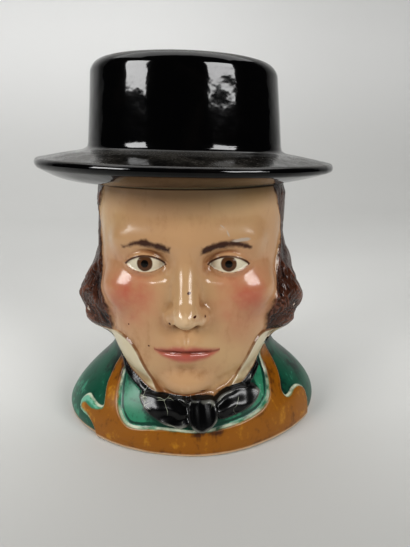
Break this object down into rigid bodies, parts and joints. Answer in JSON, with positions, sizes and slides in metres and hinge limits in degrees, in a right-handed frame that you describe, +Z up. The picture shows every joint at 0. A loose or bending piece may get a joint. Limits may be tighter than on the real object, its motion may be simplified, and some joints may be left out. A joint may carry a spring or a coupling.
{
  "type": "figural tobacco jar",
  "caption": "Glazed earthenware tobacco jar shaped as a head and shoulders in a coat, neck-cloth and bow, whose round black hat lifts off as the lid.",
  "frame": {"origin": "on the surface it stands on, under the middle of the hat's brim", "axes": "+Z up, the figure faces -Y, +X is to the viewer's right"},
  "size_m": [0.1324, 0.1324, 0.1608],
  "materials": {
    "painted_glaze": "glossy painted glaze: flesh, brown hair, green coat, amber lapels and black bow",
    "black_glaze": "glossy black glaze, dusty on the brim"
  },
  "bodies": {
    "root": {"head_jar": "painted_glaze", "hat_lid": "black_glaze"}
  },
  "joints": []
}
